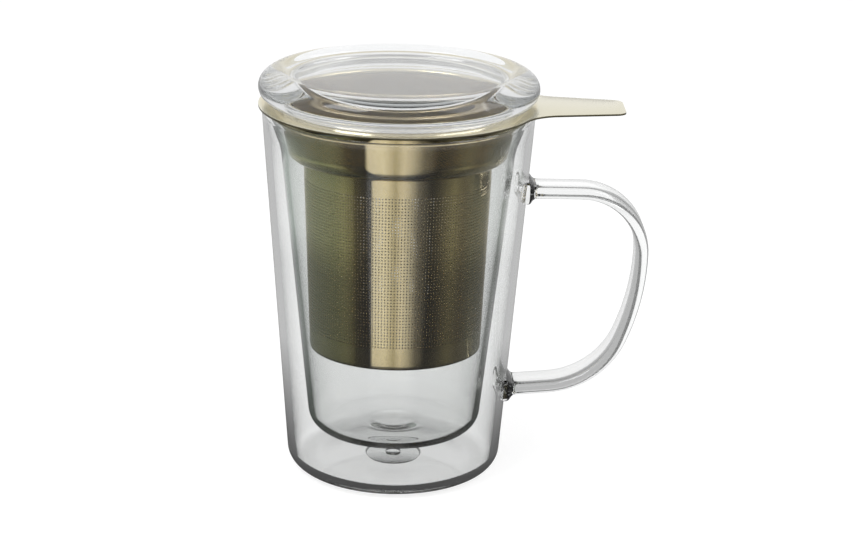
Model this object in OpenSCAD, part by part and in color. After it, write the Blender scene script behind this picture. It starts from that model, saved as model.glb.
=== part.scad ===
// Double-walled glass tea mug with a lift-out metal infuser and a loose glass lid.
// The origin is the centre of the mug's foot, +Z is up and the handle points along +X.

/* [Mug] */
// Height of the glass mug from its foot to the top of its rim
mug_h = 122; // [100:1:150]
// Outer radius of the mug at its rim
rim_r = 44; // [36:0.5:53]
// Outer radius of the mug just above its rounded foot
foot_r = 35.5; // [29:0.5:43]
// Radius of the rounded corner round the foot
foot_corner_r = 5.8; // [4:0.2:7]
// Thickness of the outer glass wall
outer_wall = 2.2; // [1.8:0.1:2.8]
// Thickness of the outer glass floor
outer_floor = 2.6; // [2.2:0.1:3.2]
// Thickness of the inner glass wall and floor
inner_wall = 1.7; // [1.4:0.1:2.1]
// Radius of the rounded lip that joins the two walls
lip_r = 2.4; // [2:0.1:2.9]
// Depth of the solid glass below the middle of the lip
lip_web = 1.6; // [1.2:0.1:2]
// Height of the inner cup's underside above the table
inner_base_z = 13; // [11:0.5:16]
// Radius of the rounded corner at the bottom of the inner cup
inner_corner_r = 7; // [5:0.5:9]
// Lean of the inner wall, in millimetres of radius for each millimetre of height
inner_slope = 0.104; // [0.087:0.001:0.125]

/* [Handle] */
// Drop from the rim to the middle of the handle's upper arm
handle_drop = 27; // [23:1:33]
// Distance from the mug's axis to the middle of the handle's far side
handle_reach = 80; // [76:1:96]
// Thickness of the handle strap
strap_t = 4; // [3.4:0.2:4.8]
// Width of the handle strap
strap_w = 13.4; // [11:0.2:16]
// Radius of the handle's upper bend
upper_bend_r = 20.3; // [17:0.5:24]
// Radius of the handle's long back curve
back_bend_r = 77; // [65:1:92]
// Angle that the back curve turns through
back_bend_deg = 22.5; // [19:0.5:27]
// Radius of the handle's lower bend
lower_bend_r = 27.8; // [24:0.2:33]
// Angle below level at which the lower bend ends
lower_bend_deg = 85; // [80:1:90]
// Radius of the fused bead round each end of the handle
weld_r = 1.8; // [1.5:0.1:2.2]

/* [Infuser] */
// Thickness of the infuser's sheet metal
sheet_t = 0.6; // [0.5:0.1:0.7]
// How far the rim plate reaches past the mug's rim
plate_overhang = 1; // [0.8:0.1:1.4]
// Drop from the underside of the rim plate to the lid's seat
seat_step = 0.05; // [0.04:0.01:0.06]
// Width of the lid's seat
seat_w = 2.5; // [2.1:0.1:3]
// Height of the solid collar below the mug's rim
collar_h = 16; // [14:0.5:19]
// Radius of the rounded shoulder under the collar
collar_corner_r = 5; // [4:0.2:6]
// Width of the flat ledge between the collar's shoulder and the basket
collar_ledge_w = 0.7; // [0.5:0.1:0.9]
// Lean of the basket's wall, in millimetres of radius for each millimetre of height
basket_slope = 0.037; // [0.03:0.001:0.045]
// Height of the basket's underside above the table
basket_base_z = 42; // [35:1:50]
// Radius of the rounded corner at the bottom of the basket
basket_corner_r = 1.6; // [1.3:0.1:1.9]

/* [Finger tab] */
// Distance from the mug's axis to the end of the tab
tab_reach = 72.3; // [66:0.1:86.8]
// Width of the tab where it meets the rim plate
tab_root_w = 26.6; // [22:0.2:31]
// Width of the tab at its end
tab_tip_w = 19; // [16:0.5:22]
// Radius of the tab's end corners
tab_corner_r = 3.6; // [3:0.2:4.4]
// Radius of the fillets between the tab and the rim plate
tab_fillet_r = 14; // [12:0.5:17]

/* [Lid] */
// Height of the lid from its foot ring to the top of its ridge
lid_h = 11.6; // [10.6:0.2:14]
// Thickness of the lid's flat middle
lid_plate_t = 4.4; // [3.8:0.1:5]
// Height of the lid's widest point above the bottom of its foot ring
lid_edge_z = 6.3; // [5.8:0.1:7]
// Width of the rounded shoulder between the widest point and the ridge
lid_shoulder_w = 7; // [6:0.1:8.4]
// Depth of the dished middle below the ridge
lid_dish = 1.4; // [1.1:0.1:1.7]
// Width of the slope between the ridge and the flat middle of the dish
lid_slope_w = 5; // [4.2:0.1:6]
// Width of the rounding under the lid's widest point
lid_edge_w = 5; // [4.2:0.1:6]
// Width of the lid's foot ring
lid_ring_w = 2; // [1.7:0.1:2.3]
// Height of the lid's foot ring below the underside of its edge
lid_ring_h = 1.6; // [1.3:0.1:1.9]

/* [Fits] */
// Clearance between the lid seat's step and the mug's mouth
seat_gap = 0.2; // [0.15:0.05:0.4]
// Clearance between the collar's rounded shoulder and the inner glass
collar_gap = 0.8; // [0.6:0.1:1.2]
// Clearance between the lid's foot ring and the edge of its seat
lid_gap = 0.4; // [0.3:0.05:0.6]
// Clearance between parts that only rest on each other
rest_gap = 0.04; // [0.02:0.01:0.06]

/* [Base seal] */
// Radius of the shallow round pad under the foot
pad_r = 9; // [8:0.5:11]
// Thickness of the pad
pad_t = 0.8; // [0.6:0.1:1]
// Radius of the stem that plugs the vent hole
stem_r = 2.5; // [2:0.1:3]

/* [Hidden] */

$fn = 96;
// Chords in each rounded corner of a turned profile
arc_steps = 8;
// How far the handle's path runs on inside the outer wall before the wall cuts it
root_depth = 4;
// Angle below level on the collar's shoulder where the inner glass starts to flare
flare_angle = 36.87;
// Overlap that makes a cut pass cleanly through a face
cut = 1;

glass_colour = [0.86, 0.90, 0.90, 0.35];
seal_colour = [0.80, 0.84, 0.84, 0.5];
gold_colour = [0.84, 0.78, 0.62];

// Outer wall: a cone that is tangent to the foot corner and to the lip
outer_lean = atan((rim_r - foot_r) / (mug_h - foot_corner_r));
lip_z = mug_h - lip_r;
function outer_r(z) = foot_r + (z - foot_corner_r) * tan(outer_lean);
lip_c = outer_r(lip_z) - lip_r / cos(outer_lean);

// Inner wall: a straight cone up to the collar's shoulder, then a flare up to the lip
mouth_r = lip_c - lip_r;
collar_r = mouth_r - seat_w - seat_gap;
collar_foot_z = mug_h - collar_h;
basket_top_r = collar_r - collar_corner_r - collar_ledge_w;
basket_wall_z = basket_base_z + basket_corner_r;
basket_bottom_r = basket_top_r - (collar_foot_z - basket_wall_z) * basket_slope;
flare_z = collar_foot_z + collar_corner_r * (1 - sin(flare_angle));
flare_r = collar_r - collar_corner_r * (1 - cos(flare_angle)) + collar_gap;
web_z = lip_z - lip_web;
inner_corner_z = inner_base_z + inner_corner_r;
inner_lean = atan(inner_slope);
function cup_r(z) = z < flare_z
    ? flare_r - (flare_z - z) * inner_slope
    : flare_r + (mouth_r - flare_r) * (z - flare_z) / (lip_z - flare_z);

// Heights of the rim plate, the lid's seat and the lid
plate_bottom = mug_h + rest_gap;
plate_top = plate_bottom + sheet_t;
plate_r = rim_r + plate_overhang;
seat_top = plate_bottom - seat_step;
seat_bottom = seat_top - sheet_t;
seat_r = collar_r - sheet_t + seat_w;
lid_z = seat_top + rest_gap;
lid_r = plate_r;
ring_r = seat_r - lid_gap;
ring_in_r = ring_r - lid_ring_w;
ridge_r = lid_r - lid_shoulder_w;
dish_r = ridge_r - lid_slope_w;
dish_z = lid_h - lid_dish;
lid_under_z = dish_z - lid_plate_t;

// Handle path, in the XZ plane
arm_z = mug_h - handle_drop;
upper_c = [handle_reach - upper_bend_r, arm_z - upper_bend_r];
back_c = [handle_reach - back_bend_r, upper_c[1]];
lower_c = back_c + (back_bend_r - lower_bend_r) * [cos(back_bend_deg), -sin(back_bend_deg)];
lower_end = lower_c + lower_bend_r * [cos(lower_bend_deg), -sin(lower_bend_deg)];
lower_out = [sin(lower_bend_deg), cos(lower_bend_deg)];
// Where the lower arm's middle line meets the outer wall
lower_run = (lower_end[0] - outer_r(lower_end[1])) / (lower_out[0] - lower_out[1] * tan(outer_lean));
lower_root = lower_end - lower_out * lower_run;

// Points on an arc about c, with one radius for each axis
function arc(c, rx, rz, from, to, steps = arc_steps) =
    [for (i = [0:steps]) let (a = from + (to - from) * i / steps) c + [rx * cos(a), rz * sin(a)]];

// Mug glass

function outer_profile() = concat(
    [[0, 0]],
    arc([outer_r(foot_corner_r) - foot_corner_r / cos(outer_lean), foot_corner_r],
        foot_corner_r, foot_corner_r, -90, -outer_lean),
    [[outer_r(lip_z), lip_z]]);

module outer_solid() {
    rotate_extrude() polygon(concat(outer_profile(), [[0, lip_z]]));
}

module outer_glass() {
    color(glass_colour)
    difference() {
        rotate_extrude() polygon(concat(
            outer_profile(),
            [[outer_r(lip_z) - outer_wall, lip_z]],
            arc([foot_r - foot_corner_r, outer_floor + foot_corner_r - outer_wall],
                foot_corner_r - outer_wall, foot_corner_r - outer_wall, 0, -90),
            [[0, outer_floor]]));
        translate([0, 0, -cut]) cylinder(r = pad_r, h = pad_t + cut);
        translate([0, 0, -cut]) cylinder(r = stem_r, h = outer_floor + 2 * cut);
    }
}

module inner_glass() {
    corner_c = [cup_r(inner_corner_z) - inner_corner_r, inner_corner_z];
    color(glass_colour)
    rotate_extrude() polygon(concat(
        [[0, inner_base_z + inner_wall]],
        arc(corner_c, inner_corner_r, inner_corner_r - inner_wall, -90, -inner_lean),
        [[cup_r(flare_z), flare_z]],
        arc([lip_c, lip_z], lip_r, lip_r, 180, 0, 2 * arc_steps),
        [[outer_r(lip_z) - outer_wall, lip_z]],
        [for (z = [web_z, flare_z]) [cup_r(z) + inner_wall, z]],
        arc(corner_c, inner_corner_r + inner_wall, inner_corner_r, -inner_lean, -90),
        [[0, inner_base_z]]));
}

module base_seal() {
    color(seal_colour) {
        cylinder(r = pad_r, h = pad_t);
        translate([0, 0, pad_t]) cylinder(r = stem_r, h = outer_floor - pad_t);
    }
}

// Handle

// Outline of the strap, grown by grow: thickness along the first axis, width along the second
function strap_section(grow) = let (half = (strap_w - strap_t) / 2, r = strap_t / 2 + grow) concat(
    arc([0, half], r, r, 0, 180),
    arc([0, -half], r, r, 180, 360));

// A station is [x, z, direction, grow], and the strap's thickness lies along the direction
function bend(c, r, from, to, steps) =
    [for (i = [0:steps]) let (a = from + (to - from) * i / steps) [c[0] + r * cos(a), c[1] + r * sin(a), a, 0]];

function handle_path() = concat(
    [[outer_r(arm_z) - root_depth, arm_z, 90, 0]],
    bend(upper_c, upper_bend_r, 90, 0, 12),
    [for (i = [1:3]) bend(back_c, back_bend_r, 0, -back_bend_deg, 4)[i]],
    bend(lower_c, lower_bend_r, -back_bend_deg, -lower_bend_deg, 9),
    [concat(lower_root - lower_out * root_depth, -lower_bend_deg, 0)]);

// Stations of the bead round an arm that leaves the wall at p along out
function weld_path(p, out, direction) =
    [for (s = [[-root_depth, 1], [0.3, 1], [0.75, 0.75], [1, 0.3]])
        concat(p + out * s[0] * weld_r, direction, s[1] * weld_r)];

function reversed(list) = [for (i = [len(list) - 1:-1:0]) list[i]];

// Closed solid with the strap's section at every station of a path
module strap(path) {
    n = len(strap_section(0));
    last = (len(path) - 1) * n;
    points = [for (s = path, p = strap_section(s[3]))
        [s[0] + p[0] * cos(s[2]), p[1], s[1] + p[0] * sin(s[2])]];
    sides = [for (i = [0:len(path) - 2], j = [0:n - 1])
        let (k = (j + 1) % n) [i * n + j, i * n + k, (i + 1) * n + k, (i + 1) * n + j]];
    polyhedron(points, concat(sides, [[for (j = [n - 1:-1:0]) j]], [[for (j = [0:n - 1]) last + j]]));
}

module handle() {
    color(glass_colour)
    difference() {
        strap(handle_path());
        outer_solid();
    }
}

module upper_handle_weld() {
    path = handle_path();
    color(glass_colour)
    difference() {
        strap(weld_path([outer_r(arm_z), arm_z], [1, 0], 90));
        outer_solid();
        strap([path[0], path[1]]);
    }
}

module lower_handle_weld() {
    path = handle_path();
    last = len(path) - 1;
    color(glass_colour)
    difference() {
        strap(reversed(weld_path(lower_root, lower_out, -lower_bend_deg)));
        outer_solid();
        strap([path[last - 1], path[last]]);
    }
}

// Infuser

module tab_outline() {
    lean = (tab_root_w - tab_tip_w) / 2 / (tab_reach - plate_r);
    slant = sqrt(1 + lean * lean);
    // Centre of the fillet that touches both the plate's edge and the tab's side
    a = tab_root_w / 2 + lean * plate_r + tab_fillet_r * slant;
    reach = plate_r + tab_fillet_r;
    fx = (a * lean + sqrt(a * a * lean * lean - slant * slant * (a * a - reach * reach))) / (slant * slant);
    fy = a - lean * fx;
    touch = [fx, fy] - tab_fillet_r / slant * [lean, 1];
    edge = [fx, fy] * plate_r / reach;
    tip = tab_reach - tab_corner_r;
    tip_y = tab_tip_w / 2 - tab_corner_r;
    corner = [tip, tip_y] + tab_corner_r / slant * [lean, 1];
    for (side = [0, 1]) mirror([0, side]) {
        difference() {
            polygon([[plate_r - seat_w, 0], [plate_r - seat_w, edge[1]], edge, touch, [touch[0], 0]]);
            translate([fx, fy]) circle(r = tab_fillet_r);
        }
        polygon([[touch[0], 0], touch, corner, [tip, tip_y], [tab_reach, tip_y], [tab_reach, 0]]);
        translate([tip, tip_y]) circle(r = tab_corner_r);
    }
}

module rim_plate() {
    step_r = seat_r + sheet_t;
    color(gold_colour) {
        translate([0, 0, plate_bottom]) linear_extrude(height = sheet_t) difference() {
            union() {
                circle(r = plate_r);
                tab_outline();
            }
            circle(r = seat_r);
        }
        rotate_extrude() polygon([
            [collar_r - sheet_t, seat_bottom], [step_r, seat_bottom], [step_r, plate_bottom],
            [seat_r, plate_bottom], [seat_r, seat_top], [collar_r - sheet_t, seat_top]]);
    }
}

module collar() {
    wall_c = [collar_r - collar_corner_r, collar_foot_z + collar_corner_r];
    color(gold_colour)
    rotate_extrude() polygon(concat(
        [[collar_r, seat_bottom]],
        arc(wall_c, collar_corner_r, collar_corner_r, 0, -90),
        [[basket_top_r - sheet_t, collar_foot_z], [basket_top_r - sheet_t, collar_foot_z + sheet_t]],
        arc(wall_c, collar_corner_r - sheet_t, collar_corner_r - sheet_t, -90, 0),
        [[collar_r - sheet_t, seat_bottom]]));
}

module basket_wall() {
    color(gold_colour)
    rotate_extrude() polygon([
        [basket_bottom_r - sheet_t, basket_wall_z], [basket_bottom_r, basket_wall_z],
        [basket_top_r, collar_foot_z], [basket_top_r - sheet_t, collar_foot_z]]);
}

module basket_base() {
    c = [basket_bottom_r - basket_corner_r, basket_wall_z];
    color(gold_colour)
    rotate_extrude() polygon(concat(
        [[0, basket_base_z]],
        arc(c, basket_corner_r, basket_corner_r, -90, 0),
        arc(c, basket_corner_r - sheet_t, basket_corner_r - sheet_t, 0, -90),
        [[0, basket_base_z + sheet_t]]));
}

// Lid

module lid_cap() {
    color(glass_colour)
    translate([0, 0, lid_z]) rotate_extrude() polygon(concat(
        [[ring_in_r, lid_ring_h]],
        arc([lid_r - lid_edge_w, lid_edge_z], lid_edge_w, lid_edge_z - lid_ring_h, -90, -10),
        arc([ridge_r, lid_edge_z], lid_shoulder_w, lid_h - lid_edge_z, 0, 90, 2 * arc_steps),
        [[dish_r, dish_z], [0, dish_z], [0, lid_under_z], [ring_in_r, lid_under_z]]));
}

module lid_foot_ring() {
    color(glass_colour)
    translate([0, 0, lid_z]) difference() {
        cylinder(r = ring_r, h = lid_ring_h);
        translate([0, 0, -cut]) cylinder(r = ring_in_r, h = lid_ring_h + 2 * cut);
    }
}

outer_glass();
inner_glass();
base_seal();
handle();
upper_handle_weld();
lower_handle_weld();
rim_plate();
collar();
basket_wall();
basket_base();
lid_cap();
lid_foot_ring();
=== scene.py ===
"""Glass tea mug with two walls, a lift-out gold infuser and a loose glass lid."""

import logging
import math
from collections.abc import Callable, Sequence
from dataclasses import dataclass
from enum import Enum

import bpy
from mathutils import Matrix, Vector


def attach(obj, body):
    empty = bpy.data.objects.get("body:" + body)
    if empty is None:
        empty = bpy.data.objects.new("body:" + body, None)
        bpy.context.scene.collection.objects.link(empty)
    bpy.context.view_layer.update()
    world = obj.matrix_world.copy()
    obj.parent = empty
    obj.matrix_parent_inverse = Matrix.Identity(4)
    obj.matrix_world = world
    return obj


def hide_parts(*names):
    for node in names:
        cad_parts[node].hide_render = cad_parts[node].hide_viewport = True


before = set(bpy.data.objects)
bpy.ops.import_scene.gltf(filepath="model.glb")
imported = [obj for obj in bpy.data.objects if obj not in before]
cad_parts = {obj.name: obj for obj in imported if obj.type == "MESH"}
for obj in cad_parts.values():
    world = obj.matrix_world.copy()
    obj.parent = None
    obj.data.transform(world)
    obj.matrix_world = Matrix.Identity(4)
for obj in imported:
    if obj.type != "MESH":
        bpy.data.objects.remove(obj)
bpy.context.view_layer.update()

log = logging.getLogger("tea_mug")

MM = 0.001
NEAR = 0.02  # millimetres within which a point counts as on a line
MERGE = 0.001  # millimetres within which two vertices become one
AXIS_STEPS = 192
PLATE_STEPS = 256

Point = tuple[float, float]
Profile = list[Point]
Colour = tuple[float, float, float]
Piece = bpy.types.Object
Socket = bpy.types.NodeSocket
Shader = bpy.types.Node
WHITE: Colour = (1.0, 1.0, 1.0)


class Body(Enum):
    """The moving bodies that pieces ride on."""

    MUG = "mug"
    INFUSER = "infuser"
    LID = "lid"


class Slot(Enum):
    """The record's material slots."""

    GLASS = "glass"
    SEAL = "seal"
    GOLD = "gold_steel"


# ---------------- modelling


def leave_edit() -> None:
    """Go back to object mode."""
    bpy.ops.object.mode_set(mode="OBJECT")


def deselect_all() -> None:
    """Leave edit mode and deselect every object."""
    if bpy.context.mode != "OBJECT":
        leave_edit()
    bpy.ops.object.select_all(action="DESELECT")


def focus(piece: Piece) -> None:
    """Make a piece the only selected object.

    Args:
        piece: The object to work on.
    """
    deselect_all()
    piece.select_set(True)
    bpy.context.view_layer.objects.active = piece


def select_mesh(action: str = "SELECT") -> None:
    """Select or deselect the whole mesh in edit mode."""
    bpy.ops.mesh.select_all(action=action)


def edit(piece: Piece, kind: str = "VERT") -> None:
    """Enter edit mode on a piece with nothing selected.

    Args:
        piece: The object to edit.
        kind: What is selected, as VERT, EDGE or FACE.
    """
    focus(piece)
    bpy.ops.object.mode_set(mode="EDIT")
    bpy.ops.mesh.select_mode(type=kind)
    select_mesh("DESELECT")


def middle_of(mesh: bpy.types.Mesh, part: bpy.types.bpy_struct) -> Vector:
    """Middle of a vertex, an edge or a face, in millimetres."""
    corners = getattr(part, "vertices", (part.index,))
    return sum((mesh.vertices[i].co for i in corners), Vector()) / len(corners) / MM


def pick(piece: Piece, kind: str, test: Callable[[Vector], bool]) -> None:
    """Edit a piece with the vertices, edges or faces selected whose middle passes a test.

    Args:
        piece: The object to edit.
        kind: What to select, as VERT, EDGE or FACE.
        test: Takes a middle in millimetres and says whether it is wanted.
    """
    edit(piece, kind)
    leave_edit()
    mesh = piece.data
    parts = {"VERT": mesh.vertices, "EDGE": mesh.edges, "FACE": mesh.polygons}
    for part in parts[kind]:
        part.select = test(middle_of(mesh, part))
    bpy.ops.object.mode_set(mode="EDIT")


def from_axis(place: Vector) -> float:
    """Distance of a place from the mug's axis."""
    return math.hypot(place.x, place.y)


def claim(name: str) -> Piece:
    """Name the new primitive and put its place into its mesh.

    Args:
        name: The piece's name.

    Returns:
        The primitive's object.
    """
    piece = bpy.context.active_object
    piece.name = piece.data.name = name
    bpy.ops.object.transform_apply(location=True, rotation=True, scale=True)
    return piece


def add_circle(radius: float, steps: int, z: float = 0.0, tip: float = 0.0) -> None:
    """Add an open circle about the mug's axis, tipped about the Y axis by some radians."""
    bpy.ops.mesh.primitive_circle_add(
        vertices=steps, radius=radius * MM, location=(0, 0, z * MM), rotation=(0, tip, 0))


def extrude_by(step: Vector) -> None:
    """Extrude what is selected by a step in millimetres."""
    bpy.ops.mesh.extrude_region_move(TRANSFORM_OT_translate={"value": step * MM})


def extrude_ring(start: Point, stops: Sequence[Point]) -> None:
    """Extrude the selected ring about the mug's axis to new radii and heights.

    Args:
        start: The ring's radius and height, in millimetres.
        stops: The radius and height of each new ring.
    """
    radius, height = start
    for next_radius, next_height in stops:
        extrude_by(Vector((0, 0, next_height - height)))
        share = next_radius / radius
        bpy.ops.transform.resize(value=(share, share, 1), center_override=(0, 0, 0))
        radius, height = next_radius, next_height


def extrude_evenly(whole: Vector, steps: int) -> None:
    """Extrude what is selected along a straight line, in even steps."""
    for _ in range(steps):
        extrude_by(whole / steps)


def select_open_edges() -> None:
    """Select the edges at which the mesh is open."""
    bpy.ops.mesh.select_mode(type="EDGE")
    select_mesh("DESELECT")
    bpy.ops.mesh.select_non_manifold()


def merge_and_face() -> None:
    """Merge the edited mesh's doubled vertices, turn its faces outwards and leave it."""
    select_mesh()
    bpy.ops.mesh.remove_doubles(threshold=MERGE * MM)
    bpy.ops.mesh.normals_make_consistent(inside=False)
    leave_edit()


def aim(piece: Piece, outwards: Callable[[bpy.types.MeshPolygon], float]) -> None:
    """Flip an open sheet if its faces look the wrong way.

    Args:
        piece: The sheet.
        outwards: Says how far a face looks the right way.
    """
    if sum(f.area * outwards(f) for f in piece.data.polygons) < 0:
        edit(piece)
        select_mesh()
        bpy.ops.mesh.flip_normals()
        leave_edit()


def off_axis(face: bpy.types.MeshPolygon) -> float:
    """How far a face looks away from the mug's axis."""
    return face.normal.x * face.center.x + face.normal.y * face.center.y


def turn(name: str, profile: Profile, steps: int = AXIS_STEPS, angle: float = 360.0) -> Piece:
    """Extrude one vertex along an outline and turn that about the mug's axis.

    Args:
        name: The piece's name.
        profile: The outline's points, in millimetres, as radius and height.
        steps: How many faces go round.
        angle: How far it turns, in degrees.

    Returns:
        The turned object.
    """
    spots = [Vector((r, 0, z)) for r, z in profile]
    bpy.ops.mesh.primitive_plane_add(size=MM)
    piece = claim(name)
    edit(piece)
    select_mesh()
    bpy.ops.mesh.merge(type="CENTER")
    bpy.ops.transform.translate(value=spots[0] * MM)
    for before, after in zip(spots, spots[1:]):
        extrude_by(after - before)
    select_mesh()
    bpy.ops.mesh.spin(
        steps=steps, angle=math.radians(angle), center=(0, 0, 0), axis=(0, 0, 1))
    merge_and_face()
    return piece


def apply(piece: Piece, kind: str, **settings: object) -> None:
    """Add a modifier and apply it.

    Args:
        piece: The object that gets it.
        kind: The modifier's type.
        settings: The modifier's own settings.
    """
    focus(piece)
    modifier = piece.modifiers.new(kind.lower(), kind)
    for key, value in settings.items():
        setattr(modifier, key, value)
    bpy.ops.object.modifier_apply(modifier=modifier.name)


def smooth(piece: Piece, angle: float) -> None:
    """Shade a piece smooth, with edges sharper than an angle in degrees kept."""
    focus(piece)
    bpy.ops.object.shade_smooth_by_angle(angle=math.radians(angle))


def arc(
    centre: Point, radius: float, start: float, end: float, steps: int, tall: float | None = None
) -> Profile:
    """Points on an arc.

    Args:
        centre: The arc's centre, in millimetres.
        radius: Its radius across.
        start: The angle of its first point, in degrees.
        end: The angle of its last point.
        steps: How many chords it has.
        tall: Its radius upwards, where that differs.

    Returns:
        The points from start to end.
    """
    rise = radius if tall is None else tall
    angles = [math.radians(start + (end - start) * i / steps) for i in range(steps + 1)]
    return [
        (centre[0] + radius * math.cos(a), centre[1] + rise * math.sin(a)) for a in angles]


def spread(start: float, end: float, steps: int) -> list[float]:
    """Numbers in even steps from start to end, without the start."""
    return [start + (end - start) * i / steps for i in range(1, steps + 1)]


def run(start: Point, end: Point, steps: int) -> Profile:
    """Points in even steps along a straight line, without its start."""
    return list(zip(spread(start[0], end[0], steps), spread(start[1], end[1], steps)))


def hand_over(piece: Piece, body: Body, slot: Slot, *nodes: str) -> None:
    """Put a finished piece on the body that it rides on, and hide the CAD nodes that it replaces.

    Args:
        piece: The finished object.
        body: The body that it rides on.
        slot: Not used.
        nodes: The CAD nodes that it replaces.
    """
    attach(piece, body.value)
    if nodes:
        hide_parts(*nodes)
    log.info("%s: %d faces, rides on %s", piece.name, len(piece.data.polygons), body.value)


# ---------------- finishes


class Nodes:
    """The nodes of one material or world, which start out empty."""

    def __init__(self, tree: bpy.types.NodeTree) -> None:
        """Take over a tree and empty it."""
        self.tree = tree
        tree.nodes.clear()

    def add(
        self, kind: str, inputs: dict[str | int, object] | None = None, **settings: object
    ) -> Shader:
        """Add a node.

        Args:
            kind: The node's type, without its Shader Node prefix.
            inputs: What each input gets: a number, a colour, or a socket to link.
            settings: The node's own settings.

        Returns:
            The node.
        """
        node = self.tree.nodes.new("ShaderNode" + kind)
        for key, value in settings.items():
            setattr(node, key, value)
        for key, value in (inputs or {}).items():
            socket = node.inputs[key]
            if isinstance(value, Socket):
                self.tree.links.new(value, socket)
            elif socket.type == "RGBA":
                socket.default_value = (*value, 1)
            else:
                socket.default_value = value
        return node

    def place(self) -> Socket:
        """The place on the piece."""
        return self.add("TexCoord").outputs["Object"]

    def split(self, place: Socket) -> bpy.types.NodeOutputs:
        """The X, Y and Z of a place."""
        return self.add("SeparateXYZ", {"Vector": place}).outputs

    def from_axis(self, place: Socket) -> Socket:
        """The distance of a place from the mug's axis."""
        level = self.add("VectorMath", {0: place, 1: (1, 1, 0)}, operation="MULTIPLY")
        return self.add("VectorMath", {0: level.outputs[0]}, operation="LENGTH").outputs["Value"]

    def math(self, operation: str, first: object, second: object) -> Socket:
        """The result of an operation on two numbers or sockets."""
        return self.add("Math", {0: first, 1: second}, operation=operation).outputs["Value"]

    def remap(self, value: Socket, old: Point, new: Point) -> Socket:
        """Map a value from its old range to a new one, with both ends held."""
        keys = ("Value", "From Min", "From Max", "To Min", "To Max")
        return self.add("MapRange", dict(zip(keys, (value, *old, *new)))).outputs["Result"]

    def noise(self, place: Socket, scale: float, detail: float) -> Socket:
        """Soft noise from 0 to 1, with some layers of finer detail."""
        inputs = {"Vector": place, "Scale": scale, "Detail": detail}
        return self.add("TexNoise", inputs).outputs["Fac"]

    def blend(self, share: Socket, first: object, second: object) -> Socket:
        """Blend two colours, by the share of the second."""
        inputs = {"Factor": share, "A": first, "B": second}
        return self.add("Mix", inputs, data_type="RGBA").outputs["Result"]

    def ramp(self, share: Socket, stops: Sequence[tuple[float, Colour]]) -> Socket:
        """Run through a row of colours.

        Args:
            share: How far along the row it is.
            stops: The place and the colour of each stop.

        Returns:
            The colour.
        """
        ramp = self.add("ValToRGB", {"Fac": share})
        points = ramp.color_ramp.elements
        while len(points) < len(stops):
            points.new(0.5)
        for point, (position, colour) in zip(points, stops):
            point.position = position
            point.color = (*colour, 1)
        return ramp.outputs["Color"]

    def choose(self, share: Socket, first: Shader, second: Shader) -> Shader:
        """Mix two shaders, by the share of the second."""
        return self.add("MixShader", {0: share, 1: first.outputs[0], 2: second.outputs[0]})

    def seen(self) -> Socket:
        """Tell the rays that the camera, mirrors and glass send from the others.

        Returns:
            A factor of 1 for those rays.
        """
        path = self.add("LightPath")
        either = path.outputs["Is Camera Ray"]
        for name in ("Is Glossy Ray", "Is Transmission Ray"):
            either = self.math("MAXIMUM", either, path.outputs[name])
        return either

    def finish(self, shader: Shader, **more: Socket) -> None:
        """Send a shader, and sockets for any other inputs, to the material's output."""
        self.add("OutputMaterial", {"Surface": shader.outputs[0], **more})


def new_material(name: str) -> tuple[bpy.types.Material, Nodes]:
    """Make a material without nodes.

    Args:
        name: The material's name.

    Returns:
        The material and its nodes.
    """
    material = bpy.data.materials.new(name)
    material.use_nodes = True
    return material, Nodes(material.node_tree)


@dataclass(frozen=True)
class ClearGlass:
    """Borosilicate glass, clear on the face and grey along its edges."""

    name: str = "clear_glass"
    tint: Colour = (0.945, 0.95, 0.948)
    roughness: float = 0.0
    ior: float = 1.47
    absorb_colour: Colour = (0.82, 0.83, 0.83)
    absorb_density: float = 12.0

    def make(self) -> bpy.types.Material:
        """Build the material.

        Returns:
            The material.
        """
        material, nodes = new_material(self.name)
        glass = nodes.add("BsdfPrincipled", {
            "Base Color": self.tint, "Roughness": self.roughness, "IOR": self.ior,
            "Transmission Weight": 1})
        absorb = nodes.add("VolumeAbsorption", {
            "Color": self.absorb_colour, "Density": self.absorb_density})
        nodes.finish(glass, Volume=absorb.outputs["Volume"])
        return material


@dataclass(frozen=True)
class GoldSteel:
    """Pale gold coated steel with a faint turned grain, and optional painted shade in a darker,
    warmer tone inside a radius.
    """

    name: str = "gold_steel"
    colour: Colour = (0.76, 0.63, 0.385)
    shade: Colour = (0.70, 0.59, 0.355)
    roughness: float = 0.05
    grain: float = 0.015
    grain_scale: float = 900.0
    grain_stretch: float = 12.0
    grain_detail: float = 3.0
    grain_bump: float = 0.05
    grain_depth: float = 0.02
    cloud_scale: float = 45.0
    cloud_detail: float = 2.0
    # optional painted shade: a darker tone inside the band's inner radius, blended out to the plain
    # colour at its outer one
    lid_shade: Colour | None = None
    lid_shade_band: Point = (43.6, 44.7)

    def make(self) -> bpy.types.Material:
        """Build the material.

        Returns:
            The material.
        """
        material, nodes = new_material(self.name)
        place = nodes.place()
        stretched = nodes.add("Mapping", {
            "Vector": place, "Scale": (1, 1, self.grain_stretch)}).outputs["Vector"]
        lines = nodes.noise(stretched, self.grain_scale, self.grain_detail)
        clouds = nodes.noise(place, self.cloud_scale, self.cloud_detail)
        colour = nodes.blend(clouds, self.colour, self.shade)
        # painted shade inside the band's radius
        if self.lid_shade:
            band = (self.lid_shade_band[0] * MM, self.lid_shade_band[1] * MM)
            outer = nodes.remap(nodes.from_axis(place), band, (0, 1))
            colour = nodes.blend(outer, self.lid_shade, colour)
        span = (self.roughness - self.grain, self.roughness + self.grain)
        bump = nodes.add("Bump", {
            "Strength": self.grain_bump, "Distance": self.grain_depth * MM, "Height": lines})
        nodes.finish(nodes.add("BsdfPrincipled", {
            "Metallic": 1, "Base Color": colour, "Roughness": nodes.remap(lines, (0, 1), span),
            "Normal": bump.outputs["Normal"]}))
        return material


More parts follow.
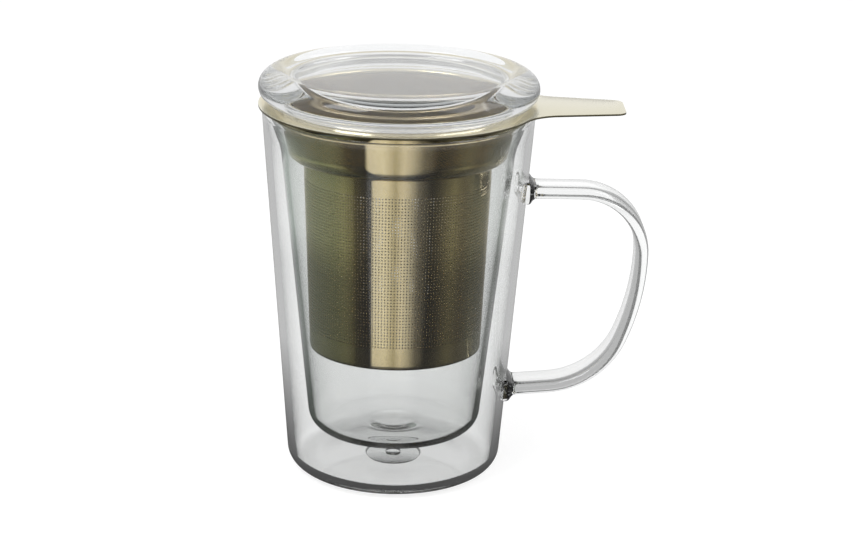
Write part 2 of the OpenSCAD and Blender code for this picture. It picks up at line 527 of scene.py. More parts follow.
@dataclass(frozen=True)
class ClearSilicone:
    """Milky clear silicone of the vent plug."""

    name: str = "clear_silicone"
    colour: Colour = (0.95, 0.96, 0.96)
    haze: float = 0.9
    haze_scale: float = 600.0
    haze_detail: float = 2.0
    roughness: float = 0.12
    haze_gloss: float = 0.08
    ior: float = 1.41

    def make(self) -> bpy.types.Material:
        """Build the material.

        Returns:
            The material.
        """
        material, nodes = new_material(self.name)
        haze = nodes.noise(nodes.place(), self.haze_scale, self.haze_detail)
        milky = tuple(c * self.haze for c in self.colour)
        span = (self.roughness - self.haze_gloss, self.roughness + self.haze_gloss)
        nodes.finish(nodes.add("BsdfPrincipled", {
            "Base Color": nodes.blend(haze, self.colour, milky), "IOR": self.ior,
            "Roughness": nodes.remap(haze, (0, 1), span), "Transmission Weight": 1}))
        return material


# ---------------- the mug


@dataclass
class Mug:
    """The glass mug: two walls fused at the lip, a strap handle and a plugged vent."""

    height: float = 122.0
    rim_r: float = 44.0
    foot_r: float = 35.5
    foot_corner_r: float = 5.8
    outer_wall: float = 2.2
    outer_floor: float = 2.6
    inner_wall: float = 1.7
    lip_r: float = 2.4
    cup_base_z: float = 13.0
    cup_corner_r: float = 7.0
    cup_slope: float = 0.104
    flare_r: float = 36.12
    flare_z: float = 108.0
    cavity_top_z: float = 119.2
    cavity_top_r: float = 0.6
    cavity_inset: float = 0.2
    arch_h: float = 0.5
    arch_r: float = 26.0
    arch_curve: tuple[Point, ...] = ((0.0, 0.0), (3.0, 0.35), (6.0, 0.8), (9.0, 1.0))
    dimple_r: float = 10.0
    dimple_drop: float = 3.0
    dimple_share: float = 0.6
    dimple_margin: float = 2.0
    dimple_steps: int = 8
    pad_r: float = 9.0
    pad_t: float = 0.8
    pad_round: float = 0.25
    pad_gap: float = 0.03
    pad_margin: float = 1.0
    stem_r: float = 2.5
    small_edge: Point = (0.2, 0.1)
    strap_t: float = 4.0
    strap_w: float = 13.4
    strap_steps: int = 40
    arm_z: float = 95.0
    upper_bend: Point = (59.7, 74.7)
    upper_bend_deg: float = 90.0
    back_bend: Point = (3.0, 74.7)
    back_bend_deg: float = 22.5
    lower_bend: Point = (48.46, 55.87)
    lower_bend_r: float = 27.8
    lower_bend_deg: float = 85.0
    root_sink: float = 1.3
    bead: tuple[Point, ...] = (
        (0.2, 1.75), (0.75, 1.55), (1.25, 1.05), (1.7, 0.5), (2.2, 0.15), (2.8, 0.0))
    crease_deg: float = 40.0
    glass: ClearGlass = ClearGlass()
    silicone: ClearSilicone = ClearSilicone()

    @property
    def lean(self) -> float:
        """Slope of the outer wall, in radius for each unit of height."""
        return (self.rim_r - self.foot_r) / (self.height - self.foot_corner_r)

    @property
    def lean_deg(self) -> float:
        """The outer wall's slope as an angle."""
        return math.degrees(math.atan(self.lean))

    @property
    def slope_deg(self) -> float:
        """The inner wall's slope as an angle."""
        return math.degrees(math.atan(self.cup_slope))

    @property
    def corner_middle(self) -> Point:
        """Middle of the round between the cup's wall and its floor."""
        z = self.cup_base_z + self.cup_corner_r
        return self.cup_at(z) - (self.cup_corner_r - self.inner_wall), z

    @property
    def foot_middle(self) -> Point:
        """Middle of the round at the foot."""
        return self.round_middle(self.foot_corner_r, self.foot_corner_r), self.foot_corner_r

    def outer_at(self, z: float) -> float:
        """Radius of the outer wall's face at a height."""
        return self.foot_r + (z - self.foot_corner_r) * self.lean

    def cup_at(self, z: float) -> float:
        """Radius of the inner wall's inside face at a height below the flare."""
        return self.flare_r - (self.flare_z - z) * self.cup_slope

    def round_middle(self, z: float, radius: float) -> float:
        """Radius at which a round in the outer wall's face has its middle."""
        return self.outer_at(z) - radius / math.cos(math.atan(self.lean))

    def dimple(self, level: float, drop: float) -> Profile:
        """Outline of the round dimple in the middle of a floor.

        Args:
            level: The floor's height.
            drop: How far the middle lies below it.

        Returns:
            The points outwards from the middle.
        """
        shares = [i / self.dimple_steps for i in range(self.dimple_steps + 1)]
        return [
            (self.dimple_r * s, level - drop * 0.5 * (1 + math.cos(math.pi * s)))
            for s in shares]

    def inside_profile(self) -> Profile:
        """Outline of the drinking side, from the middle of its floor over the lip.

        Returns:
            The points.
        """
        lip_z = self.height - self.lip_r
        lip_c = self.round_middle(lip_z, self.lip_r)
        floor_z = self.cup_base_z + self.inner_wall
        points = self.dimple(floor_z, self.dimple_drop * self.dimple_share)
        points += run(points[-1], (self.corner_middle[0], floor_z), 5)
        points += arc(self.corner_middle, self.cup_corner_r - self.inner_wall,
                      -90, -self.slope_deg, 10)[1:]
        points += run(points[-1], (self.flare_r, self.flare_z), 20)
        points += run(points[-1], (lip_c - self.lip_r, lip_z), 3)
        return points + arc((lip_c, lip_z), self.lip_r, 180, -self.lean_deg, 16)[1:]

    def outside_profile(self, start: Point) -> Profile:
        """Outline of the outer face, down the wall and under the foot into the vent.

        Args:
            start: The lip's last point.

        Returns:
            The points after the start.
        """
        foot = arc(self.foot_middle, self.foot_corner_r, -self.lean_deg, -90, 12)
        recess_z, recess_r = self.pad_t + self.pad_gap, self.pad_r + self.pad_gap
        hole_r = self.stem_r + self.pad_gap
        across, up = self.small_edge
        return run(start, foot[0], 28) + foot[1:] + [
            (self.arch_r - inset, self.arch_h * share) for inset, share in self.arch_curve
        ] + [
            (recess_r + self.pad_margin, self.arch_h), (recess_r + across, self.arch_h),
            (recess_r, self.arch_h + up), (recess_r, recess_z), (hole_r, recess_z),
            (hole_r, self.outer_floor)]

    def space_profile(self, start: Point) -> Profile:
        """Outline of the sealed space, from the vent round to the cup's underside.

        Args:
            start: The vent's upper edge.

        Returns:
            The points after the start.
        """
        inner_c = self.foot_middle[0] - self.cavity_inset
        bend = self.foot_corner_r - self.outer_wall
        points = run(start, (inner_c, self.outer_floor), 6)
        points += arc((inner_c, self.outer_floor + bend), bend, -90, -self.lean_deg, 10)[1:]
        top_out = self.outer_at(self.cavity_top_z) - self.outer_wall
        points += run(points[-1], (top_out, self.cavity_top_z), 24)
        points += arc((top_out - self.cavity_top_r, self.cavity_top_z), self.cavity_top_r,
                      0, 180, 8)[1:]
        points += run(points[-1], (self.flare_r + self.inner_wall, self.flare_z), 3)
        corner = arc(self.corner_middle, self.cup_corner_r, -self.slope_deg, -90, 12)
        points += run(points[-1], corner[0], 20) + corner[1:]
        points += run(points[-1], (self.dimple_r + self.dimple_margin, self.cup_base_z), 5)
        return points + self.dimple(self.cup_base_z, self.dimple_drop)[::-1]

    def shell_profile(self) -> Profile:
        """Outline of the whole glass wall.

        Returns:
            The points, with both ends on the axis.
        """
        points = self.inside_profile()
        points += self.outside_profile(points[-1])
        return points + self.space_profile(points[-1])

    def pad_profile(self) -> Profile:
        """Outline of the vent plug, a pad under the foot with a stem into the vent.

        Returns:
            The points, with both ends on the axis.
        """
        across, up = self.small_edge
        centre = (self.pad_r - self.pad_round, self.pad_round)
        return [
            (0.0, 0.0), *arc(centre, self.pad_round, -90, 0, 4), (self.pad_r, self.pad_t),
            (self.stem_r, self.pad_t), (self.stem_r, self.outer_floor - up),
            (self.stem_r - across, self.outer_floor), (0.0, self.outer_floor)]

    def growth(self, grow: float) -> Point:
        """Width and thickness scales of the strap's section when it is grown."""
        return (
            (self.strap_w + 2 * grow) / self.strap_w, (self.strap_t + 2 * grow) / self.strap_t)

    def swell(self, out: Vector, root: Vector, stops: Sequence[Point], tilt: Matrix) -> None:
        """Extrude the selected ring through the rings of a fused bead.

        Args:
            out: The direction in which the strap leaves the wall.
            root: Where the strap's middle meets the wall, in millimetres.
            stops: The reach and the growth of each ring, from the selected one on.
            tilt: The turn of the rings.
        """
        for (reach, grow), (next_reach, next_grow) in zip(stops, stops[1:]):
            extrude_by(out * (next_reach - reach))
            wide, thick = self.growth(next_grow)
            old_wide, old_thick = self.growth(grow)
            bpy.ops.transform.resize(
                value=(1, wide / old_wide, thick / old_thick),
                orient_type="GLOBAL", orient_matrix=tilt,
                center_override=(root + out * next_reach) * MM)

    @staticmethod
    def spin_bend(centre: Point, angle: float, steps: int) -> None:
        """Spin the selected ring downwards round a bend's centre in the XZ plane."""
        spot = (centre[0] * MM, 0, centre[1] * MM)
        bpy.ops.mesh.spin(steps=steps, angle=math.radians(angle), center=spot, axis=(0, -1, 0))

    def build_handle(self) -> Piece:
        """Sweep the strap from the wall, round its three bends and back to the wall.

        Returns:
            The handle's solid, with fused beads at both ends.
        """
        add_circle(self.strap_t / 2, self.strap_steps, tip=math.pi / 2)
        piece = claim("handle_strap")
        half = (self.strap_w - self.strap_t) / 2
        for side in (1, -1):
            pick(piece, "VERT", lambda p, s=side: p.y * s > NEAR)
            bpy.ops.transform.translate(value=(0, side * half * MM, 0))
        select_mesh()
        root = Vector((self.outer_at(self.arm_z), 0, self.arm_z))
        sunk = root - Vector((self.root_sink, 0, 0))
        bpy.ops.transform.translate(value=sunk * MM)
        first = (-self.root_sink, self.bead[0][1])
        bpy.ops.transform.resize(value=(1, *self.growth(first[1])), center_override=sunk * MM)
        self.swell(Vector((1, 0, 0)), root, (first, *self.bead), Matrix.Identity(3))
        arm = self.upper_bend[0] - root.x - self.bead[-1][0]
        extrude_evenly(Vector((arm, 0, 0)), 4)
        self.spin_bend(self.upper_bend, self.upper_bend_deg, 18)
        self.spin_bend(self.back_bend, self.back_bend_deg, 10)
        self.spin_bend(self.lower_bend, self.lower_bend_deg - self.back_bend_deg, 14)
        self.end_at_wall((*self.bead[::-1], first))
        merge_and_face()
        return piece

    def end_at_wall(self, stops: Sequence[Point]) -> None:
        """Run the lower arm to the wall, swell its end and cap both ends.

        Args:
            stops: The reach and the growth of the bead's rings, the last one sunk.
        """
        angle = math.radians(self.lower_bend_deg)
        out = Vector((math.sin(angle), 0, math.cos(angle)))
        end = Vector((
            self.lower_bend[0] + self.lower_bend_r * math.cos(angle), 0,
            self.lower_bend[1] - self.lower_bend_r * math.sin(angle)))
        gap = (end.x - self.outer_at(end.z)) / (out.x - out.z * self.lean)
        extrude_evenly(out * (stops[0][0] - gap), 3)
        self.swell(out, end - out * gap, stops, Matrix.Rotation(angle - math.pi / 2, 3, "Y"))
        bpy.ops.mesh.edge_face_add()
        select_open_edges()
        bpy.ops.mesh.edge_face_add()

    def build(self) -> None:
        """Build the glass and the vent plug."""
        shell = turn("mug_glass", self.shell_profile())
        handle = self.build_handle()
        apply(shell, "BOOLEAN", operation="UNION", solver="EXACT", object=handle)
        bpy.data.objects.remove(handle)
        shell.data.materials.clear()
        pad = turn("vent_pad", self.pad_profile(), AXIS_STEPS // 2)
        for piece, finish in ((shell, self.glass), (pad, self.silicone)):
            smooth(piece, self.crease_deg)
            piece.data.materials.append(finish.make())
        hand_over(shell, Body.MUG, Slot.GLASS, "outer_glass", "inner_glass", "handle",
                  "upper_handle_weld", "lower_handle_weld")
        hand_over(pad, Body.MUG, Slot.SEAL, "base_seal")


# ---------------- the infuser


@dataclass
class Infuser:
    """The gold infuser: rim plate with a finger tab, collar and perforated basket."""

    plate_top: float = 122.64
    sheet_t: float = 0.6
    plate_r: float = 45.0
    seat_top: float = 121.99
    seat_outer_r: float = 38.22
    step_start: float = 0.5
    step_upper: tuple[Point, ...] = ((0.3, -0.05), (0.1, -0.18), (0.0, -0.36), (-0.06, -0.52))
    step_lower: tuple[Point, ...] = ((-0.2, 0.1), (-0.42, 0.02), (-0.7, 0.0))
    throat_round: float = 0.75
    collar_r: float = 36.32
    collar_join_z: float = 120.6
    collar_foot_z: float = 106.0
    collar_corner_r: float = 5.0
    ledge_r: float = 0.5
    top_r: float = 30.62
    slope: float = 0.037
    wall_z: float = 43.6
    base_z: float = 42.0
    corner_r: float = 1.6
    rows: int = 50
    holes_top: float = 100.2
    holes_bottom: float = 49.7
    quarter_columns: int = 48
    hole_margin: float = 0.26
    hole_corner: float = 0.12
    base_pitch: float = 1.0
    base_holes_r: float = 24.6
    tab_reach: float = 72.3
    tab_root_w: float = 26.6
    tab_tip_w: float = 19.0
    tab_corner_r: float = 3.6
    tab_fillet_r: float = 14.0
    tab_overlap: float = 0.004
    tab_merge: float = 0.005
    edge_round: float = 0.16
    edge_deg: float = 60.0
    # height band and width of the painted shade on the plate's outer side faces
    edge_shade_band: Point = (0.01, 0.1)
    edge_shade_w: float = 1.0
    crease_deg: float = 32.0
    wall_crease_deg: float = 30.0
    turned: GoldSteel = GoldSteel()
    # the flat plate takes a darker, warmer painted shade where the lid's edge covers it
    flat: GoldSteel = GoldSteel(
        name="gold_steel_flat", colour=(0.75, 0.715, 0.57), shade=(0.71, 0.675, 0.53),
        roughness=0.22, grain=0.04, lid_shade=(0.66, 0.595, 0.40))
    # painted shade: a near-black finish for the plate's outer side faces, which stand in shadow
    edge_shade: GoldSteel = GoldSteel(
        name="gold_steel_edge_shade", colour=(0.12, 0.105, 0.065), shade=(0.10, 0.09, 0.055),
        roughness=0.3, grain=0.04)
    inside: GoldSteel = GoldSteel(
        name="gold_steel_inside", colour=(0.50, 0.43, 0.30), shade=(0.44, 0.38, 0.26),
        roughness=0.42, grain=0.04)
    sheet_finish: tuple[bpy.types.Material, ...] = ()

    def basket_at(self, z: float) -> float:
        """Radius of the basket's outer face at a height."""
        return self.top_r - (self.collar_foot_z - z) * self.slope

    @staticmethod
    def bearing(place: Vector) -> float:
        """Angle between a place and the tab's direction, seen from the axis."""
        return abs(math.atan2(place.y, place.x))

    def tab_points(self) -> list[Vector]:
        """Edge of the tab from the plate's edge at its right side round to its left.

        Returns:
            Points in millimetres, from negative Y to positive Y.
        """
        lean = (self.tab_root_w - self.tab_tip_w) / 2 / (self.tab_reach - self.plate_r)
        lean_deg, slant = math.degrees(math.atan(lean)), math.hypot(1, lean)
        side = self.tab_root_w / 2 + lean * self.plate_r + self.tab_fillet_r * slant
        reach = self.plate_r + self.tab_fillet_r
        root = math.sqrt((side * lean) ** 2 - slant**2 * (side**2 - reach**2))
        fx = (side * lean + root) / slant**2
        fy = side - lean * fx
        start = math.degrees(math.atan2(-fy, -fx)) % 360
        tip = (self.tab_reach - self.tab_corner_r, self.tab_tip_w / 2 - self.tab_corner_r)
        half = arc((fx, fy), self.tab_fillet_r, start, 270 - lean_deg, 8)
        half += arc(tip, self.tab_corner_r, 90 - lean_deg, 0, 10)
        return [Vector((x, -y, self.plate_top)) for x, y in half] + [
            Vector((x, y, self.plate_top)) for x, y in half[::-1]]

    def build_plate(self) -> Piece:
        """Build the rim plate, its tab and the step that seats the lid.

        Returns:
            The rim plate.
        """
        tab = self.tab_points()
        add_circle(self.plate_r, PLATE_STEPS, self.plate_top)
        piece = claim("rim_plate_sheet")
        root = self.bearing(tab[0]) - self.tab_overlap
        pick(piece, "VERT", lambda p: self.bearing(p) < root)
        bpy.ops.mesh.delete(type="VERT")
        leave_edit()
        right = [v.co / MM for v in piece.data.vertices if v.co.y < 0]
        start = here = min(right, key=self.bearing)
        pick(piece, "VERT", lambda p: (p - start).length < NEAR)
        for spot in (*tab, Vector((start.x, -start.y, start.z))):
            extrude_by(spot - here)
            here = spot
        select_mesh()
        bpy.ops.mesh.remove_doubles(threshold=self.tab_merge * MM)
        add_circle(self.seat_outer_r + self.step_start, PLATE_STEPS, self.plate_top)
        select_mesh()
        bpy.ops.mesh.fill()
        self.step_down(piece)
        merge_and_face()
        aim(piece, lambda f: f.normal.z)
        apply(piece, "SOLIDIFY", thickness=self.sheet_t * MM, offset=-1, use_even_offset=True)
        apply(piece, "BEVEL", width=self.edge_round * MM, segments=3,
              limit_method="ANGLE", angle_limit=math.radians(self.edge_deg))
        self.dress_plate(piece)
        return piece

    def step_down(self, piece: Piece) -> None:
        """Extrude the plate's inner edge down the step, across the seat and down again.

        Args:
            piece: The sheet in edit mode.
        """
        start_r, inner = self.seat_outer_r + self.step_start, self.collar_r - self.sheet_t
        turn_middle = (inner + self.throat_round, self.seat_top - self.throat_round)
        stops = [(self.seat_outer_r + out, self.plate_top + up) for out, up in self.step_upper]
        stops += [(self.seat_outer_r + out, self.seat_top + up) for out, up in self.step_lower]
        stops += arc(turn_middle, self.throat_round, 90, 180, 6)
        stops += [(inner, self.collar_join_z)]
        pick(piece, "VERT", lambda p: from_axis(p) < start_r + NEAR)
        bpy.ops.mesh.select_mode(type="EDGE")
        extrude_ring((start_r, self.plate_top), stops)

    def dress_plate(self, plate: Piece) -> None:
        """Give the plate its flat finish, and paint shade on its outer side faces with a near-black
        one.

        Args:
            plate: The rim plate.
        """
        plate.data.materials.append(self.flat.make())
        plate.data.materials.append(self.edge_shade.make())
        # the plate's side faces round its rim and tab get the painted shade
        low = self.plate_top - self.sheet_t + self.edge_shade_band[0]
        high = self.plate_top - self.edge_shade_band[1]
        pick(plate, "FACE", lambda p: low < p.z < high and from_axis(p) > self.plate_r - self.edge_shade_w)
        plate.active_material_index = 1
        bpy.ops.object.material_slot_assign()
        leave_edit()

    def dress_sheet(self, piece: Piece) -> None:
        """Give a turned sheet its thickness, with the satin finish on its inner face.

        Args:
            piece: The sheet, with its faces outwards.
        """
        for finish in self.sheet_finish:
            piece.data.materials.append(finish)
        apply(piece, "SOLIDIFY", thickness=self.sheet_t * MM, offset=-1,
              use_even_offset=True, material_offset=1, material_offset_rim=1)

    def build_collar(self) -> Piece:
        """Turn the solid collar with its rounded shoulder.

        Returns:
            The collar.
        """
        foot, ledge, corner_r = self.collar_foot_z, self.ledge_r, self.collar_corner_r
        outline = [(self.collar_r, self.collar_join_z)]
        outline += run(outline[0], (self.collar_r, foot + corner_r), 4)
        outline += arc((self.collar_r - corner_r, foot + corner_r), corner_r, 0, -90, 14)[1:]
        outline += arc((self.top_r + ledge, foot - ledge), ledge, 90, 180, 5)
        piece = turn("infuser_collar", outline)
        aim(piece, off_axis)
        self.dress_sheet(piece)
        return piece

    def punch(self) -> None:
        """Cut a hole with eight sides in every selected face."""
        bpy.ops.mesh.inset(thickness=self.hole_margin * MM, use_individual=True)
        bpy.ops.mesh.bevel(affect="VERTICES", offset=self.hole_corner * MM)
        bpy.ops.mesh.select_mode(type="FACE")
        select_mesh("DESELECT")
        bpy.ops.mesh.select_face_by_sides(number=8, type="EQUAL")
        bpy.ops.mesh.delete(type="FACE")
        leave_edit()

    def build_wall(self) -> list[Piece]:
        """Build a quarter of the perforated wall and copy it round.

        Returns:
            The four quarters.
        """
        low, high = self.wall_z, self.collar_foot_z - self.ledge_r
        heights = [low, *spread(low, self.holes_bottom, 2)]
        heights += spread(self.holes_bottom, self.holes_top, self.rows)
        heights += spread(self.holes_top, high, 2)
        outline = [(self.basket_at(z), z) for z in heights]
        quarter = turn("basket_wall_1", outline, self.quarter_columns, 90)
        aim(quarter, off_axis)
        pick(quarter, "FACE", lambda p: self.holes_bottom < p.z < self.holes_top)
        self.punch()
        self.dress_sheet(quarter)
        smooth(quarter, self.wall_crease_deg)
        quarters = [quarter]
        for turns in (1, 2, 3):
            copy = quarter.copy()
            copy.data = quarter.data.copy()
            bpy.context.collection.objects.link(copy)
            copy.rotation_euler.z = math.pi / 2 * turns
            focus(copy)
            quarters.append(claim(f"basket_wall_{turns + 1}"))
        return quarters

    def build_base(self) -> Piece:
        """Build the perforated base with its rolled edge.

        Returns:
            The base.
        """
        cells = 2 * math.ceil(self.base_holes_r / self.base_pitch) + 2
        edge_r = self.basket_at(self.wall_z) - self.corner_r
        bpy.ops.mesh.primitive_grid_add(
            x_subdivisions=cells, y_subdivisions=cells,
            size=cells * self.base_pitch * MM, location=(0, 0, self.base_z * MM))
        piece = claim("basket_base_sheet")
        pick(piece, "FACE", lambda p: from_axis(p) > self.base_holes_r)
        bpy.ops.mesh.delete(type="FACE")
        add_circle(edge_r, AXIS_STEPS, self.base_z)
        select_open_edges()
        bpy.ops.mesh.fill()
        pick(piece, "EDGE", lambda p: from_axis(p) > edge_r - NEAR)
        roll = arc((edge_r, self.wall_z), self.corner_r, -90, 0, 6)
        extrude_ring((edge_r, self.base_z), roll[1:])
        merge_and_face()
        aim(piece, lambda f: -f.normal.z)
        edit(piece, "FACE")
        leave_edit()
        # inside the field of holes only whole cells have four corners
        for face in piece.data.polygons:
            inside = from_axis(face.center) < self.base_holes_r * MM
            face.select = inside and len(face.vertices) == 4
        bpy.ops.object.mode_set(mode="EDIT")
        self.punch()
        self.dress_sheet(piece)
        return piece

    def build(self) -> None:
        """Build every part of the infuser."""
        self.sheet_finish = (self.turned.make(), self.inside.make())
        for piece, node in (
            (self.build_plate(), "rim_plate"), (self.build_collar(), "collar"),
            (self.build_base(), "basket_base"),
        ):
            smooth(piece, self.crease_deg)
            hand_over(piece, Body.INFUSER, Slot.GOLD, node)
        for number, piece in enumerate(self.build_wall()):
            nodes = () if number else ("basket_wall",)
            hand_over(piece, Body.INFUSER, Slot.GOLD, *nodes)


# ---------------- the lid


@dataclass
class Lid:
    """The clear glass lid: a thick plate with a dished top, a round edge and a foot ring."""

    z: float = 122.03
    height: float = 11.6
    plate_t: float = 4.4
    edge_r: float = 45.0
    edge_z: float = 6.3
    edge_w: float = 5.0
    edge_deg: float = 80.0
    shoulder_w: float = 7.0
    dish: float = 1.4
    slope_w: float = 5.0
    slope_steps: int = 10
    ring_r: float = 37.82
    ring_w: float = 2.0
    ring_h: float = 1.6
    ring_root: tuple[Point, ...] = ((0.5, 0.0), (0.1, 0.2), (0.0, 0.4))
    ring_round: float = 0.9
    recess_round: float = 0.6
    crease_deg: float = 40.0
    glass: ClearGlass = ClearGlass(
        name="lid_glass", tint=(0.90, 0.905, 0.91), absorb_density=30.0)

    def profile(self) -> Profile:
        """Outline of the lid's section, from the top of its axis to the underside.

        Returns:
            The points, with both ends on the axis.
        """
        ridge_r = self.edge_r - self.shoulder_w
        dish_r, dish_z = ridge_r - self.slope_w, self.height - self.dish
        points = [(0.0, dish_z), *run((0.0, dish_z), (dish_r, dish_z), 4)]
        for share in spread(0, 1, self.slope_steps):
            rise = self.dish * 0.5 * (1 - math.cos(math.pi * share))
            points.append((dish_r + self.slope_w * share, dish_z + rise))
        points += arc((ridge_r, self.edge_z), self.shoulder_w, 90, 0, 18,
                      self.height - self.edge_z)[1:]
        points += arc((self.edge_r - self.edge_w, self.edge_z), self.edge_w,
                      0, -self.edge_deg, 14, self.edge_z - self.ring_h)[1:]
        points += [(self.ring_r + out, self.ring_h - down) for out, down in self.ring_root]
        r, inner = self.ring_round, self.ring_r - self.ring_w
        points += arc((self.ring_r - r, r), r, 0, -90, 5)[1:]
        points += arc((inner + r, r), r, -90, -180, 5)
        r, under_z = self.recess_round, dish_z - self.plate_t
        points += arc((inner - r, under_z - r), r, 0, 90, 4)
        points += run((inner - r, under_z), (0.0, under_z), 4)
        return [(radius, z + self.z) for radius, z in points]

    def build(self) -> None:
        """Build the lid."""
        lid = turn("lid_glass", self.profile())
        smooth(lid, self.crease_deg)
        lid.data.materials.append(self.glass.make())
        hand_over(lid, Body.LID, Slot.GLASS, "lid_cap", "lid_foot_ring")


# ---------------- the studio


@dataclass(frozen=True)
class Lamp:
    """A soft square lamp, in metres and watts."""

    name: str
    place: tuple[float, float, float]
    size: float
    power: float
    aim_z: float = 0.06

    def hang(self) -> None:
        """Hang the lamp so that it shines on the mug."""
        data = bpy.data.lights.new(self.name, "AREA")
        data.size = self.size
        data.energy = self.power
        lamp = bpy.data.objects.new(self.name, data)
        lamp.location = self.place
        aim = Vector((0, 0, self.aim_z)) - Vector(self.place)
        lamp.rotation_euler = aim.to_track_quat("-Z", "Y").to_euler()
        bpy.context.scene.collection.objects.link(lamp)


@dataclass
class Studio:
    """White table, soft lamps, a ring that shapes reflections, and the camera."""

    frame_w: int = 855
    frame_h: int = 535
    sensor_w: float = 36.0
    focal: float = 2155.8
    distance: float = 709.62
    aim_z: float = 60.0
    pitch: float = 18.725
    aim_px: Point = (396.25, 288.82)
    roll: float = 0.9855
    clip_start: float = 10.0
    floor_size: float = 8000.0
    floor_drop: float = 0.2
    floor_tone: float = 0.32
    floor_glow: float = 0.78
    floor_plain: float = 0.8
    fill_light: float = 0.55
    glass_bounces: int = 32
    bounces: int = 16
    ring_r: float = 128.0
    ring_steps: int = 96
    ring_h: float = 124.0
    ring_front_h: float = 110.0
    ring_rise: float = 40.0
    ring_strength: float = 1.15
    ring_fade: float = 9.0
    middle_r: float = 25.0
    middle_tone: float = 0.12
    glass_faces: float = 3.5
    mirror_count: float = 0.5
    front_near: float = 113.0
    front_far: float = 102.0
    side_tones: tuple[Point, ...] = (
        (0.0, 0.42), (0.24, 0.46), (0.355, 1.0), (0.52, 1.0), (0.63, 0.40), (0.89, 0.34))
    grey_light: float = 0.46
    grey_dark: float = 0.18
    grey_front: float = 90.0
    cards: tuple[tuple[float, Colour], ...] = (
        (0.00, (0.28, 0.34, 0.28)), (0.05, (0.25, 0.30, 0.21)),
        (0.085, (0.32, 0.36, 0.25)), (0.115, (0.20, 0.21, 0.14)),
        (0.125, (0.07, 0.07, 0.04)), (0.145, (0.055, 0.055, 0.05)),
        (0.174, (0.015, 0.015, 0.015)), (0.178, (0.90, 0.90, 0.90)),
        (0.215, (1.00, 1.00, 0.96)), (0.245, (0.56, 0.54, 0.45)),
        (0.266, (0.88, 0.87, 0.84)), (0.285, (0.62, 0.62, 0.60)),
        (0.312, (0.16, 0.16, 0.16)), (0.35, (0.025, 0.025, 0.02)),
        (0.38, (0.08, 0.08, 0.07)), (0.425, (0.24, 0.24, 0.17)),
        (0.465, (0.13, 0.12, 0.08)), (0.52, (0.17, 0.19, 0.16)),
        (0.60, (0.18, 0.20, 0.17)), (0.66, (0.66, 0.66, 0.66)),
        (0.84, (0.66, 0.66, 0.66)), (0.89, (0.27, 0.32, 0.28)),
        (0.95, (0.28, 0.34, 0.28)),
    )
    lamps: tuple[Lamp, ...] = (
        Lamp("key_lamp", (-0.45, -0.35, 0.8), 0.5, 5.0),
        Lamp("fill_lamp", (0.6, -0.2, 0.6), 0.6, 3.0),
    )

    def place_camera(self) -> None:
        """Set the camera where the whole mug is seen a little from above."""
        pitch = math.radians(self.pitch)
        back = Vector((0, -math.cos(pitch), math.sin(pitch)))
        place = Vector((0, 0, self.aim_z)) + back * self.distance
        pan = math.atan((self.aim_px[0] - self.frame_w / 2) / self.focal)
        rise = math.cos(pan) * (self.aim_px[1] - self.frame_h / 2) / self.focal
        turned = Matrix.Translation(place * MM)
        for axis, angle in (
            ("X", math.pi / 2 - pitch), ("Y", pan), ("X", math.atan(rise)),
            ("Z", math.radians(self.roll)),
        ):
            turned = turned @ Matrix.Rotation(angle, 4, axis)
        data = bpy.data.cameras.new("camera")
        data.sensor_width = self.sensor_w
        data.sensor_fit = "HORIZONTAL"
        data.lens = self.focal * self.sensor_w / self.frame_w
        data.clip_start = self.clip_start * MM
        camera = bpy.data.objects.new("camera", data)
        bpy.context.scene.collection.objects.link(camera)
        camera.matrix_world = turned
        bpy.context.scene.camera = camera

    def make_world(self) -> None:
        """Make the world white where it is seen and a plain grey light elsewhere."""
        world = bpy.data.worlds.new("studio")
        bpy.context.scene.world = world
        world.use_nodes = True
        nodes = Nodes(world.node_tree)
        fill = nodes.add("Background", {"Color": WHITE, "Strength": self.fill_light})
        shown = nodes.choose(nodes.seen(), fill, nodes.add("Background", {"Color": WHITE}))
        nodes.add("OutputWorld", {"Surface": shown.outputs[0]})

    def lay_floor(self) -> None:
        """Lay a white floor that keeps a soft shadow."""
        bpy.ops.mesh.primitive_plane_add(
            size=self.floor_size * MM, location=(0, 0, -self.floor_drop * MM))
        floor = claim("floor")
        material, nodes = new_material("white_floor")
        paper, plain_paper = (
            nodes.add("BsdfDiffuse", {"Color": (tone,) * 3})
            for tone in (self.floor_tone, self.floor_plain))
        glow = nodes.add("Emission", {"Color": WHITE, "Strength": self.floor_glow})
        both = nodes.add("AddShader", {0: paper.outputs[0], 1: glow.outputs[0]})
        nodes.finish(nodes.choose(nodes.seen(), plain_paper, both))
        material.cycles.emission_sampling = "NONE"
        floor.data.materials.append(material)

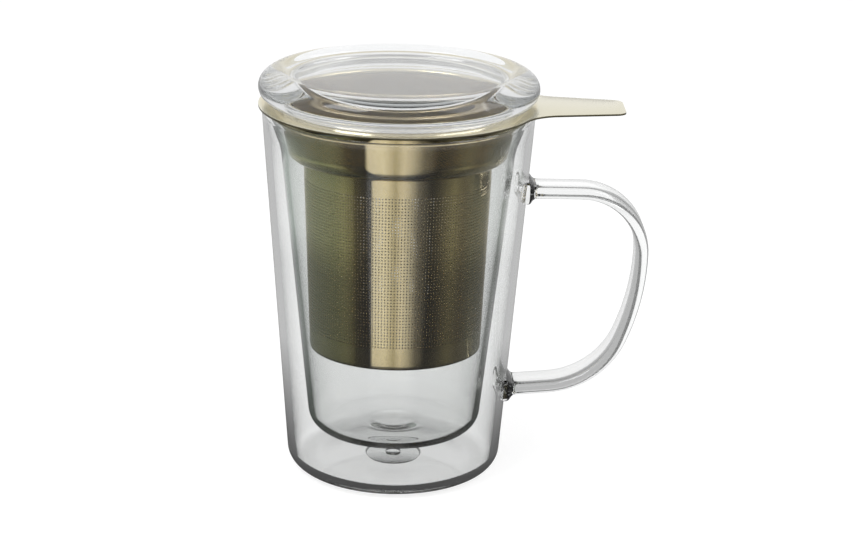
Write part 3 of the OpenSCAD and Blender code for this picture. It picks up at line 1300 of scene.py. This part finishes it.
    def set_ring(self) -> None:
        """Stand a ring of cards round the mug that only mirrored light can see."""
        bpy.ops.mesh.primitive_cylinder_add(
            vertices=self.ring_steps, radius=self.ring_r * MM, depth=self.ring_h * MM,
            end_fill_type="NOTHING", location=(0, 0, self.ring_h / 2 * MM))
        ring = claim("reflector_ring")
        pick(ring, "EDGE", lambda p: p.z < NEAR)
        bpy.ops.mesh.edge_face_add()
        leave_edit()
        material, nodes = new_material("reflector_cards")
        place, path = nodes.place(), nodes.add("LightPath").outputs
        strength = nodes.remap(
            nodes.from_axis(place), (self.middle_r * MM, self.ring_r * MM),
            (self.middle_tone * self.ring_strength, self.ring_strength))
        grey = nodes.remap(
            nodes.split(place)["Y"], (-self.grey_front * MM, 0), (self.grey_dark, self.grey_light))
        plain_glow = nodes.add("Emission", {"Strength": nodes.math("MULTIPLY", grey, strength)})
        through = nodes.math("GREATER_THAN", path["Transmission Depth"], self.glass_faces)
        glow = nodes.choose(through, plain_glow, self.card_glow(nodes, place, strength))
        mirrored = nodes.math("GREATER_THAN", path["Glossy Depth"], self.mirror_count)
        shown = nodes.math("MULTIPLY", mirrored, self.fade_top(nodes, place))
        nodes.finish(nodes.choose(shown, nodes.add("BsdfTransparent"), glow))
        material.cycles.emission_sampling = "NONE"
        ring.data.materials.append(material)
        ring.visible_camera = ring.visible_diffuse = ring.visible_shadow = False

    def card_glow(self, nodes: Nodes, place: Socket, strength: Socket) -> Shader:
        """Cards of many tones round the ring, with the ends of the side ones darker.

        Args:
            nodes: The nodes that it is added to.
            place: The place on the ring.
            strength: The cards' strength.

        Returns:
            The shader for metal seen through the glass.
        """
        around = nodes.add("TexGradient", {"Vector": place}, gradient_type="RADIAL")
        split = nodes.split(place)
        height = nodes.remap(split["Z"], (0, self.ring_h * MM), (0, 1))
        tones = nodes.ramp(height, [(stop, (tone,) * 3) for stop, tone in self.side_tones])
        front = nodes.remap(split["Y"], (-self.front_near * MM, -self.front_far * MM), (1, 0))
        shade = nodes.math("MAXIMUM", tones, front)
        return nodes.add("Emission", {
            "Color": nodes.ramp(around.outputs["Fac"], self.cards),
            "Strength": nodes.math("MULTIPLY", strength, shade)})

    def fade_top(self, nodes: Nodes, place: Socket) -> Socket:
        """A factor that fades out the ring's top, which is lower in front.

        Args:
            nodes: The nodes that it is added to.
            place: The place on the ring.

        Returns:
            The factor.
        """
        split = nodes.split(place)
        lift = nodes.remap(
            split["Y"], (0, self.ring_rise * MM), (0, (self.ring_h - self.ring_front_h) * MM))
        height = nodes.math("SUBTRACT", split["Z"], lift)
        span = ((self.ring_front_h - self.ring_fade) * MM, self.ring_front_h * MM)
        return nodes.remap(height, span, (1, 0))

    def build(self) -> None:
        """Set up the view, the light and the table."""
        scene = bpy.context.scene
        scene.view_settings.view_transform = "Standard"
        scene.cycles.max_bounces = scene.cycles.transmission_bounces = self.glass_bounces
        scene.cycles.glossy_bounces = scene.cycles.transparent_max_bounces = self.bounces
        self.place_camera()
        self.make_world()
        self.lay_floor()
        self.set_ring()
        for lamp in self.lamps:
            lamp.hang()
        log.info("studio: camera, world, floor, ring and %d lamps", len(self.lamps))


def main() -> None:
    """Build the studio and every sub-assembly."""
    logging.basicConfig(level=logging.INFO, format="%(message)s")
    Studio().build()
    Mug().build()
    Infuser().build()
    Lid().build()
    deselect_all()


if __name__ == "__main__":
    main()
